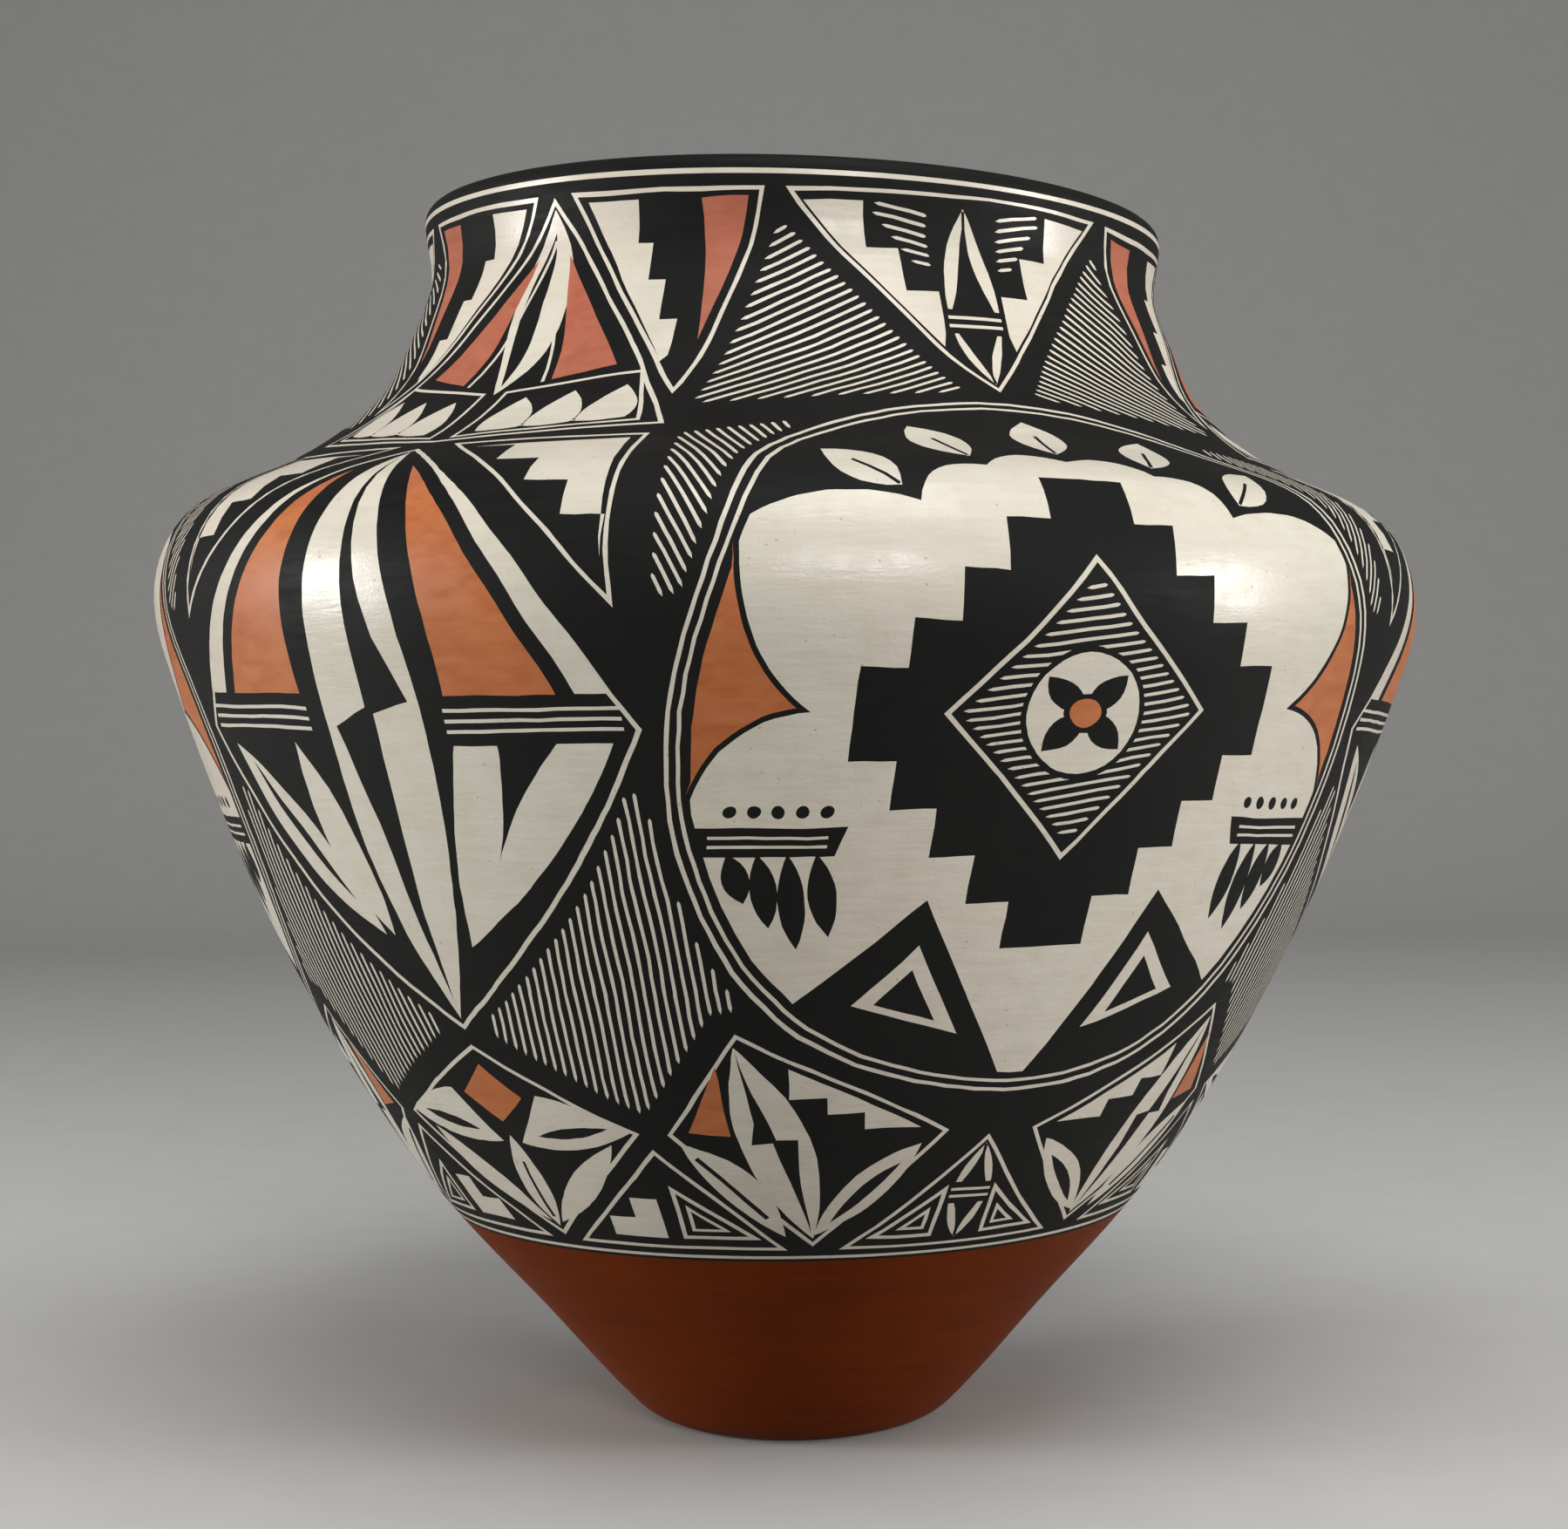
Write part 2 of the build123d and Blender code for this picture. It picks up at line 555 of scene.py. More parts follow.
def cloud(p):
    """A stepped cloud with a hatched lozenge and a flower in it."""
    right, top, left, foot = in_field(51, 0), in_field(0, 55), in_field(-51, 0), in_field(0, -58)
    p.fill("black", joined(
        flight(right, top, 5, False), flight(top, left, 5),
        flight(left, foot, 5, False), flight(foot, right, 5),
    ))
    lozenge = [in_field(32, 0), in_field(0, 37), in_field(-32, 0), in_field(0, -37)]
    p.edged(lozenge, 1.1)
    p.hatching(lozenge, 8, 2.6)
    p.fill("black", oval(FIELD, 15, 17, 0, 350, 10))
    p.fill("white", oval(FIELD, 13.6, 15.6, 0, 350, 10))
    for k in range(4):
        p.fill("black", leaf(FIELD, FIELD + cmath.rect(13.5, math.pi / 2 * k + math.pi / 4), 3.4))
    p.fill("black", oval(FIELD, 5.2, 5.2, 0, 340, 20))
    p.fill("orange", oval(FIELD, 3.8, 3.8, 0, 340, 20))


def foot_row():
    """Panels that stand on the lower line."""
    p = Patch()
    p.panel(p.flat((-18.5, PANEL_FOOT), (18.5, PANEL_FOOT), (0, 110)))
    p.split_leaf(at(0, 106), at(0, 77), 10.5, 0.5)
    for side in (1, -1):
        p.nested([at(6.5 * side, 78), at(22.5 * side, 78), at(6.5 * side, 94)])
    for p in both_ways(41):
        p.panel(p.flat((23.5, PANEL_FOOT), (58.5, PANEL_FOOT), (40.6, 109)))
        p.nested([at(-21, 78), at(-2, 78), at(-2, 96)])
        p.fill("white", flight(at(22.5, 78), at(2, 98), 3) + [at(2, 78)])


def kites():
    """Slanted four-cornered panels beside the foot of the round field, with stairs, leaves and a bolt."""
    for p in both_ways(23):
        foot, left, top, right = p.flat((21, 74.5), (5.2, 110.5), (30, 141), (39, 111.5))
        p.panel([foot, right, top, left])
        low, high = left + 8.5 + 0.8j, top - 12 - 11.2j
        p.fill("white", [low, high] + flight(high - 4j, low + 5, 3, False))
        p.feather(foot + 5j, left + 8 - 4j, (3.5, 5.5), (0.8, 2.4), 0.15, 0.8)
        p.bolt_leaf(top - 5j, foot + 4j, 7.5, 0.7)
        p.fill("orange", [top + 4 - 10j, right - 6 + 1j, mix(foot, top, 0.55) + 9])
        root, tip = mix(foot, top, 0.07) + 5, right - 4 - 2.5j
        p.fill("white", leaf(root, tip, 6, 3))
        p.line([mix(root, tip, 0.2) - 0.6, mix(root, tip, 0.85)], 1.1, "black")


def diamond():
    """The four-cornered panel under the tall leaf, with leaves and an orange middle."""
    p = Patch(BESIDE)
    foot, right, top, left = p.flat((60, 74.5), (79, 112), (60, 135), (41, 112))
    p.panel([foot, right, top, left])
    p.edged([top - 5j, at(10, 120), at(0, 111), at(-10, 120)], 0.8, "black", "orange")
    for side in (1, -1):
        root, tip, high = at(side * 3, 106), at(side * 34, 112), at(side * 13, 121)
        p.fill("white", joined(bowed(root, tip, -3 * side), bowed(tip, high, -2 * side), [high, root]))
        p.fill("black", leaf(at(side * 9, 109), at(side * 29, 113), 1.5))
        p.fill("white", leaf(at(side * 1.5, 80), at(side * 28, 108), 3.5))
    p.fill("white", leaf(foot + 4j, at(0, 108), 4))
    p.line([foot + 7j, at(0, 100)], 0.9, "black")


def tall_corners():
    """Foot, right, top and left corner of the tall leaf."""
    return Patch(BESIDE).flat((60, 137), (85.3, 214), (60, 291.5), (34.7, 214))


def tall_leaf():
    """The tall pointed field between two round ones: a bolt, sails, bars, a tooth and two leaves."""
    p = Patch(BESIDE)
    corners = tall_corners()
    foot, _, top, _ = corners
    p.panel(joined(*(bowed(a, b, -5) for a, b in sides(corners))), 1.1)
    p.bolt_leaf(top - 4j, foot + 4j, 15)
    sail = joined(
        bowed(at(9, 278), at(50, 222), 4), [at(50, 222), at(22, 222)], bowed(at(22, 222), at(9, 278), -4),
    )
    strip = joined(
        bowed(at(11, 280), at(63, 222), 5.5), [at(63, 222), at(54.5, 222)],
        bowed(at(54.5, 222), at(11, 280), -4.5),
    )
    for side in (1, -1):
        p.fill("orange", on_side(sail, side))
        p.fill("white", on_side(strip, side))
        p.bars(at(side * 21, 216.5), at(side * 64, 216.5), 3, 2.3)
        if side > 0:
            tooth(p)
        else:
            tall_leaf_leaves(p)


def tooth(p):
    """A white tooth with a black one in it, low on the right of the tall leaf."""
    p.fill("white", joined(
        [at(22, 211), at(61, 211)], bowed(at(61, 211), at(11, 160), 4), bowed(at(11, 160), at(22, 211), 1.5),
    ))
    p.fill("black", joined(
        bowed(at(33, 212), at(24, 179), 2), bowed(at(24, 179), at(49, 212), 2), [at(49, 212), at(33, 212)],
    ))


def tall_leaf_leaves(p):
    """Two white leaves, one with a black vein, low on the left of the tall leaf."""
    p.fill("white", leaf(at(-12, 163), at(-29, 211), 6, 5))
    p.fill("white", leaf(at(-15, 163), at(-57, 210), 5, 7))
    p.fill("black", leaf(at(-22, 172), at(-51, 206), 1.3))


def fillings():
    """Hatching and small panels with stairs that fill the ground between the large fields."""
    foot, _, _, left = tall_corners()
    for p, q in zip(both_ways(30), both_ways(44)):
        edge = Patch().places(field_edge(-1, 74, 14))
        p.hatching(p.flat(*edge, (34.6, 240), (34.6, 297), (14, 311)), 62)
        edge = Patch().places(field_edge(-1, -16, -48))
        side = Patch(BESIDE).places(bowed(mix(foot, left, 0.02), mix(foot, left, 0.90), 6))
        p.hatching(p.flat(*side, *edge, (31.4, 143), (40.2, 114.5)), 84)
        a, b, c = q.flat((36.2, 297), (57.5, 294), (36.4, 238))
        q.panel([a, b, c])
        q.fill("white", flight(c + 3.5 + 13j, b - 10 - 4.5j, 4, False) + [a + 4 - 4j])


def neck_triangles():
    """Panels that hang from the upper line above the round field and beside it, with hatching between."""
    p = Patch()
    p.panel(p.flat((-26, PANEL_TOP), (26, PANEL_TOP), (0, 318.5)))
    p.split_leaf(at(0, 371), at(0, 323), 14)
    for side in (1, -1):
        p.hatching(on_side([at(8.5, 371.8), at(25, 371.8), at(8.5, 350)], side), 12 * side, 0.6)
        a, b = at(38, 371.5), at(9.5, 335)
        p.fill("white", on_side([a, b] + flight(b - 1 + 4j, a - 6, 3, False), side))
    for p, q in zip(both_ways(40), both_ways(20)):
        a, b, c = p.flat((27.3, PANEL_TOP), (57.8, PANEL_TOP), (36.6, 313))
        p.panel([a, b, c])
        high, low = b - 6.5 - 3.2j, mix(b, c, 0.80) - 1 + 2j
        p.fill("white", [high, low] + flight(low - 1.5 + 2j, high - 9.5, 4, False))
        p.fill("orange", [a + 5 - 3.2j, a + 16 - 3.2j, mix(a, c, 0.66) + 4])
        q.hatching(q.flat((2.5, 317.5), (26.4, 371), (35.2, 309)), 150)


def fan():
    """The fan over the tall leaf: a feather, orange wedges and rows of drops."""
    p = Patch(BESIDE)
    top, left, foot, right = p.flat((60, PANEL_TOP), (35.2, 301), (60, 294), (84.8, 301))
    p.panel([top, left, foot, right])
    p.feather(top - 4j, at(0, 318), (8.5, 8.5), (0.85, 5.61), 0.10, 0.94)
    for side in (1, -1):
        wedge = on_side([at(5, 360), at(14, 323), at(29, 327)], side)
        row = on_side([at(3, 319), at(37, 325), at(48, 303.5), at(3, 297.5)], side)
        ends = on_side([at(7, 300.5), at(44, 305.5)], side)
        p.fill("orange", wedge)
        p.line([wedge[0] - 5 * side + 4j, mix(wedge[0], wedge[1], 1.02) - 2.4 * side], 0.9)
        p.edged(row, EDGE_GAP)
        p.drops(*ends[::side], 3, 15)


def draw_design():
    """Lays the whole tile, from the ground up."""
    for draw in (zone_lines, fillings, foot_row, kites, diamond, tall_leaf, neck_triangles, fan, round_field):
        draw()


# The cut is made on a sheet where a degree is as wide as this many mm, about as on the wall
SHEET_DEGREE = 2.2
# Corners nearer to each other than this, in mm, become one
SHEET_GRAIN = 0.001


def wall_grid():
    """Corners (degrees, up) of an even grid over one tile, and edges along its seams, top and sides."""
    rows = np.concatenate([
        *(np.linspace(low, high, ROWS_PER_COIL, endpoint=False) for low, high in zip(SEAMS, SEAMS[1:])),
        np.linspace(LAST_SEAM, WALL_LENGTH, RIM_ROWS),
    ])
    columns = np.arange(-HALF_TILE, HALF_TILE + 1, STEP_DEGREES)
    corners = [(deg, up) for up in rows for deg in columns]
    wide = len(columns)
    edges = []
    for row, up in enumerate(rows):
        if np.abs(SEAMS - up).min() < TINY or row == len(rows) - 1:
            edges += [(row * wide + k, row * wide + k + 1) for k in range(wide - 1)]
        if row:
            edges += [((row - 1) * wide + k, row * wide + k) for k in (0, wide - 1)]
    return corners, edges


def add_outlines(corners, edges):
    """Adds each outline of paint that reaches into the tile to the corners and edges. Gives the outlines."""
    shapes = []
    for colour, places in layers:
        for shift in (-TILE, 0, TILE):
            outline = np.array(places) + (shift, 0)
            if outline[:, 0].min() < HALF_TILE and outline[:, 0].max() > -HALF_TILE:
                first, count = len(corners), len(outline)
                edges += [(first + k, first + (k + 1) % count) for k in range(count)]
                corners += outline.tolist()
                shapes.append((COLOURS.index(colour), outline))
    return shapes


def covered(outline, places):
    """Which of the places lie inside an outline."""
    inside = np.zeros(len(places), bool)
    for (x, y), (next_x, next_y) in zip(outline, np.roll(outline, -1, axis=0)):
        spans = (y > places[:, 1]) != (next_y > places[:, 1])
        slope = (next_x - x) / ((next_y - y) or 1)
        inside ^= spans & (places[:, 0] < x + (places[:, 1] - y) * slope)
    return inside


def topmost(shapes, places):
    """Colour of the topmost shape of paint at each of the places. Below all paint lies the red slip."""
    colours = np.full(len(places), COLOURS.index("red"))
    for colour, outline in shapes:
        near = np.all((places > outline.min(axis=0)) & (places < outline.max(axis=0)), axis=1)
        near = np.flatnonzero(near)
        colours[near[covered(outline, places[near])]] = colour
    return colours


def cut_tile():
    """Cuts one tile of wall along every edge of paint. Gives corners (degrees, up), triangles and colours."""
    corners, edges = wall_grid()
    shapes = add_outlines(corners, edges)
    sheet = [Vector((degrees * SHEET_DEGREE, up)) for degrees, up in corners]
    points, _, triangles, *_ = delaunay_2d_cdt(sheet, edges, [], 0, SHEET_GRAIN, False)
    points = np.array([(p.x / SHEET_DEGREE, p.y) for p in points])
    triangles = np.array([list(t) for t in triangles])
    middles = points[triangles].mean(axis=1)
    kept = (abs(middles[:, 0]) < HALF_TILE) & (middles[:, 1] > FIRST_SEAM) & (middles[:, 1] < WALL_LENGTH)
    return points, triangles[kept], topmost(shapes, middles[kept])


# How the painter's hand strays: reach in mm, number of waves round the jar, and their length up the wall
HAND = (
    (0.6, (3, 9), (70, 200)),
    (0.10, (18, 50), (16, 40)),
    (0.045, (90, 150), (6, 12)),
)
WAVES_EACH = 6
# Over this much of the zone's foot and top the hand comes back to the layout
FOOT_FADE = 12
TOP_FADE = 8


def hand_waves(seed, reach, turns, lengths):
    """Waves of a painter's hand: a smooth field over the wall, in mm, that closes round the jar."""
    draw = random.Random(seed)
    waves = [
        (
            draw.uniform(0.5, 1),
            draw.randint(*turns),
            draw.choice((-1, 1)) * 2 * math.pi / draw.uniform(*lengths),
            draw.uniform(0, 2 * math.pi),
        )
        for _ in range(WAVES_EACH)
    ]
    total = math.sqrt(sum(size * size for size, *_ in waves) / 2)
    return lambda degrees, up: reach / total * sum(
        size * np.sin(turn * np.radians(degrees) + climb * up + phase) for size, turn, climb, phase in waves
    )


SIDEWAYS = [hand_waves(11 + k, *size) for k, size in enumerate(HAND)]
UPWARDS = [hand_waves(31 + k, *size) for k, size in enumerate(HAND)]


def hand_drawn(degrees, up):
    """The places moved as a hand-held brush strays from the layout."""
    fade = soft_rise(up, FIRST_SEAM, FIRST_SEAM + FOOT_FADE) * soft_rise(WALL_LENGTH - up, 0, TOP_FADE)
    aside = sum(wave(degrees, up) for wave in SIDEWAYS) * fade
    rise = sum(wave(degrees, up) for wave in UPWARDS) * fade
    return degrees + aside / mm_per_degree(up), up + rise


def wall_point(degrees, up):
    """A point of the finished outside, in mm."""
    return settled(placed(degrees, radius_at(up), height_at(up)))


def wall_normal(degrees, up):
    """Way that the finished outside faces."""
    stretch = 0.4
    turn = stretch / mm_per_degree(up)
    aside = wall_point(degrees + turn, up) - wall_point(degrees - turn, up)
    rise = wall_point(degrees, up + stretch) - wall_point(degrees, up - stretch)
    normal = np.cross(aside, rise)
    return normal / np.linalg.norm(normal, axis=1)[:, None]


# Zones of a piece: one for each colour of paint on its outside, and then the inside and both seams
INSIDE_ZONE = 4
LOW_SEAM_ZONE = 5
HIGH_SEAM_ZONE = 6
ZONES = 7
# Free margins of a zone in the flat layout, as shares of its width and height on each side
SIDE_MARGIN = 0.02
END_MARGIN = 0.06
# Points nearer to the axis than this, in mm, lie at no angle of their own
AXIS_REACH = 0.5
# Points become one below these distances, in mm: where a spun line closes, and where a ring's skins meet
SPUN_REACH = 0.01
RING_REACH = 0.008
# Edges that bend by more than this many degrees stay sharp
SHARP_BEND = 35


def only(piece):
    """Selects one piece alone."""
    bpy.ops.object.select_all(action="DESELECT")
    piece.select_set(True)
    bpy.context.view_layer.objects.active = piece


def edit_all(piece):
    """Goes into edit mode with all of one piece selected."""
    only(piece)
    bpy.ops.object.mode_set(mode="EDIT")
    bpy.ops.mesh.select_all(action="SELECT")


def closed(piece, reach):
    """Merges points nearer to each other than reach and turns every face outwards."""
    edit_all(piece)
    bpy.ops.mesh.remove_doubles(threshold=reach)
    bpy.ops.mesh.normals_make_consistent(inside=False)
    bpy.ops.object.mode_set(mode="OBJECT")


def set_values(mesh, name, kind, domain, values, field="value"):
    """Writes a named value for each point, corner or face of a mesh."""
    attribute = mesh.attributes.get(name) or mesh.attributes.new(name, kind, domain)
    attribute.data.foreach_set(field, values)


def read_values(items, field, kind=float, wide=1):
    """Reads one field of all of a mesh's points, corners or faces."""
    values = np.zeros(len(items) * wide, kind)
    items.foreach_get(field, values)
    return values.reshape(-1, wide) if wide > 1 else values


def take_values(mesh, name, field="value", **shape):
    """Reads a named value of a mesh that isn't needed any more, and removes it."""
    values = read_values(mesh.attributes[name].data, field, **shape)
    mesh.attributes.remove(mesh.attributes[name])
    return values


def mesh_corners(mesh):
    """The point and the face of each corner of a mesh."""
    faces = np.repeat(np.arange(len(mesh.polygons)), read_values(mesh.polygons, "loop_total", int))
    return read_values(mesh.loops, "vertex_index", int), faces


def round_place(points):
    """Degrees round the jar, from the middle of the first tile."""
    return np.degrees(np.arctan2(points[:, 0], -points[:, 1])) - FRONT_TURN


def lay_out_for_paint(mesh, zone, way, zones=ZONES):
    """Lays the mesh flat in zones, folded at the tiles' borders. Takes each corner's zone and way."""
    corner_points, faces = mesh_corners(mesh)
    here = read_values(mesh.vertices, "co", wide=3)[corner_points]
    centres = read_values(mesh.polygons, "center", wide=3)[faces]
    middle = (round_place(centres) + HALF_TILE) % 360
    away = (round_place(here) + HALF_TILE - middle + 180) % 360 - 180
    away[np.hypot(here[:, 0], here[:, 1]) < AXIS_REACH * MM] = 0
    tile = middle // TILE
    across = mix(SIDE_MARGIN, 1 - SIDE_MARGIN, (middle + away - tile * TILE) / TILE)
    up = (zone * TILES + tile + mix(END_MARGIN, 1 - END_MARGIN, way)) / (zones * TILES)
    layout = mesh.uv_layers.new(name="OFBake")
    layout.data.foreach_set("uv", np.stack([across, up], axis=-1).ravel())


def spun(name, profile, zone=INSIDE_ZONE, zones=ZONES):
    """A piece spun round the jar's axis from a line of (radius, height), drawn corner by corner."""
    places = [Vector(placed(0, radius, height) * MM) for radius, height in profile]
    bpy.ops.mesh.primitive_plane_add(size=MM, location=places[0])
    piece = bpy.context.object
    piece.name = piece.data.name = name
    edit_all(piece)
    bpy.ops.mesh.merge(type="CENTER")
    for before, after in zip(places, places[1:]):
        bpy.ops.mesh.extrude_region_move(TRANSFORM_OT_translate={"value": after - before})
    bpy.ops.object.mode_set(mode="OBJECT")
    bpy.ops.object.transform_apply(location=True)
    mesh = piece.data
    lengths = np.cumsum([0, *((q - p).length for p, q in zip(places, places[1:]))])
    set_values(mesh, "way", "FLOAT", "POINT", lengths / lengths[-1])
    edit_all(piece)
    bpy.ops.mesh.spin(steps=STEPS_ROUND, angle=2 * math.pi, center=(0, 0, 0), axis=(0, 0, 1))
    bpy.ops.object.mode_set(mode="OBJECT")
    closed(piece, SPUN_REACH * MM)
    corner_points, _ = mesh_corners(mesh)
    way = take_values(mesh, "way")[corner_points]
    lay_out_for_paint(mesh, np.full(len(corner_points), zone), way, zones)
    set_values(mesh, "finish", "INT", "FACE", [CLAY] * len(mesh.polygons))
    return piece


def seam_faces(degrees, row, inner_start):
    """Triangles from a row of corners on the outside to the even row where the seam comes out inside."""
    order = row[np.argsort(degrees[row])]
    order = order[np.concatenate(([True], np.diff(degrees[order]) > SAME_ANGLE))]
    faces = []
    for here, after in zip(order, np.roll(order, -1)):
        step = int((degrees[here] + SAME_ANGLE) // STEP_DEGREES) % STEPS_ROUND
        faces.append((here, after, inner_start + step))
        past_step = degrees[after] % STEP_DEGREES
        if past_step < ON_LINE or past_step > STEP_DEGREES - ON_LINE:
            faces.append((after, inner_start + (step + 1) % STEPS_ROUND, inner_start + step))
    return faces


def laid_round(sheet, low, high):
    """A stretch of the sheet, laid all round the jar: its corners' degrees and up, its faces and colours."""
    points, triangles, colours = sheet
    middle = points[triangles][:, :, 1].mean(axis=1)
    chosen = (middle > low) & (middle < high)
    used, triangles = np.unique(triangles[chosen], return_inverse=True)
    triangles = triangles.reshape(-1, 3)
    degrees = np.concatenate([points[used, 0] + TILE * k for k in range(TILES)])
    up = np.tile(points[used, 1], TILES)
    faces = np.concatenate([triangles + len(used) * k for k in range(TILES)])
    return degrees, up, faces.tolist(), np.tile(colours[chosen], TILES).tolist()


def skin(name, sheet, low, high):
    """The painted outside of one ring, with the faces of its seams. The lip has no seam above it."""
    degrees, up, faces, zones = laid_round(sheet, low, high)
    drawn_degrees, drawn_up = hand_drawn(degrees, up)
    corners = [placed(drawn_degrees, radius_at(drawn_up), height_at(drawn_up))]
    way = [(up - low) / (high - low)]
    count = len(degrees)
    seams = [(low, LOW_SEAM_ZONE), (high, HIGH_SEAM_ZONE)]
    for seam, zone in seams[:1] if high == WALL_LENGTH else seams:
        row = np.flatnonzero(np.abs(up - seam) < ON_LINE)
        made = seam_faces(np.round(degrees % 360, 5) % 360, row, count)
        faces += made
        zones += [zone] * len(made)
        corners.append(placed(np.arange(STEPS_ROUND) * STEP_DEGREES, *inside_at(seam - LAP)))
        way.append(np.zeros(STEPS_ROUND))
        count += STEPS_ROUND
    mesh = bpy.data.meshes.new(name)
    mesh.from_pydata((np.concatenate(corners) * MM).tolist(), [], faces)
    corner_points, corner_faces = mesh_corners(mesh)
    corner_zones = np.array(zones)[corner_faces]
    way = np.concatenate(way)[corner_points]
    seam = corner_zones > INSIDE_ZONE
    way[seam] = corner_points[seam] < len(degrees)
    lay_out_for_paint(mesh, corner_zones, way)
    set_values(mesh, "finish", "INT", "FACE", np.minimum(zones, CLAY))
    outside = np.flatnonzero(corner_zones < INSIDE_ZONE)
    chosen = corner_points[outside]
    facing = np.zeros((len(corner_points), 3))
    facing[outside] = wall_normal(drawn_degrees[chosen], drawn_up[chosen])
    set_values(mesh, "facing", "FLOAT_VECTOR", "CORNER", facing.ravel(), "vector")
    piece = bpy.data.objects.new(name, mesh)
    bpy.context.collection.objects.link(piece)
    return piece


def inside_line(low, high, steps=7):
    """Line of the wall's inside between two seams, from the upper one down."""
    return [inside_at(up) for up in np.linspace(high - LAP, low - LAP, steps)]


def lip_line(steps=12):
    """The rounded lip, from its outer edge over the top to the inside."""
    half = (LIP[0] - inside_at(WALL_LENGTH)[0]) / 2
    middle = LIP[0] - half
    return [
        (middle + half * math.cos(turn), LIP[1] + (HEIGHT - LIP[1]) * math.sin(turn))
        for turn in (math.pi * k / steps for k in range(steps + 1))
    ]


def soft_bend(start, bend, end, steps=8):
    """Soft bend between two points, drawn towards a third."""
    return [
        tuple((1 - t) ** 2 * a + 2 * t * (1 - t) * b + t * t * c for a, b, c in zip(start, bend, end))
        for t in np.linspace(0, 1, steps + 1)
    ]


def bowl_line():
    """Line of the base bowl, from its floor's middle up the inside, over the seam and down to the foot."""
    floor = UNDERSIDE_RISE + FLOOR_THICKNESS
    ring_inside = FOOT_RADIUS - FOOT_RING_WIDTH
    bend_end = BEND_END_SHARE * WALL_LENGTH
    end = inside_at(bend_end)
    ahead = inside_at(bend_end + 1)
    reach = (floor - end[1]) / (ahead[1] - end[1])
    bend = (end[0] + (ahead[0] - end[0]) * reach, floor)
    floor_line = [(r, floor) for r in np.linspace(0, ring_inside, 5)[:-1]]
    inner = [inside_at(up) for up in np.linspace(bend_end, FIRST_SEAM - LAP, 12)[1:]]
    outside = [(radius_at(up), height_at(up)) for up in np.linspace(FIRST_SEAM, 0, 20)]
    heel_bend = (HEEL[0] - HEEL[1], 0)
    hollow = [
        (r, UNDERSIDE_RISE * (0.5 + 0.5 * math.cos(math.pi * r / ring_inside)))
        for r in np.linspace(ring_inside, 0, 7)
    ]
    return [
        *floor_line, *soft_bend((ring_inside, floor), bend, end), *inner, *outside,
        *soft_bend(HEEL, heel_bend, (FOOT_RADIUS, 0))[1:], *hollow,
    ]


def repaint(piece, colour, chosen):
    """Gives the chosen faces of a piece a finish. Takes a test of their centres, across and up in mm."""
    mesh = piece.data
    finish = read_values(mesh.attributes["finish"].data, "value", int)
    x, y, z = read_values(mesh.polygons, "center", wide=3).T / MM
    finish[chosen(np.hypot(x, y), z)] = COLOURS.index(colour)
    set_values(mesh, "finish", "INT", "FACE", finish)


def shade(piece):
    """Smooth shading that follows the true form on the painted outside."""
    only(piece)
    bpy.ops.object.shade_smooth_by_angle(angle=math.radians(SHARP_BEND))
    mesh = piece.data
    if "facing" in mesh.attributes:
        mesh.normals_split_custom_set(take_values(mesh, "facing", "vector", wide=3).tolist())


def finished(piece, node, materials):
    """Gives a closed piece its settled form, shading and materials, and its place in the frame."""
    mesh = piece.data
    points = settled(read_values(mesh.vertices, "co", wide=3) / MM) * MM
    mesh.vertices.foreach_set("co", points.ravel())
    mesh.update()
    for material in materials:
        mesh.materials.append(material)
    mesh.polygons.foreach_set("material_index", take_values(mesh, "finish", kind=int))
    shade(piece)
    bpy.ops.object.material_slot_remove_unused()
    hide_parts(node)
    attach(piece, "root")


def close_ring(outside, inside, node, materials):
    """One piece from its painted outside and its scraped inside."""
    only(outside)
    inside.select_set(True)
    bpy.ops.object.join()
    closed(outside, RING_REACH * MM)
    finished(outside, node, materials)


def ring(name, sheet, low, high, materials):
    """One coil of the wall: painted outside, seams above and below, and scraped inside."""
    outside = skin(f"{name}_painted", sheet, low, high)
    inside = spun(f"{name}_inside", inside_line(low, high))
    close_ring(outside, inside, name, materials)


def rim(sheet, materials):
    """The rim coil, whose painted outside goes over the rounded lip into the scraped inside."""
    outside = skin("rim_coil_painted", sheet, LAST_SEAM, WALL_LENGTH)
    inside = spun("rim_coil_inside", lip_line() + inside_line(LAST_SEAM, WALL_LENGTH + LAP)[1:])
    repaint(inside, "black", lambda across, height: height > LIP[1] - LIP_PAINT_INSIDE)
    close_ring(outside, inside, "rim_coil", materials)


def base_bowl(materials):
    """The pressed bowl that the coils stand on, with its red slip outside."""
    piece = spun("base_bowl_slipped", bowl_line(), 0, 1)
    repaint(piece, "red", lambda across, height: across > np.interp(height, outer[:, 1], outer[:, 0]) - 1)
    repaint(piece, "red", lambda across, height: height < HEEL[1])
    finished(piece, "base_bowl", materials)


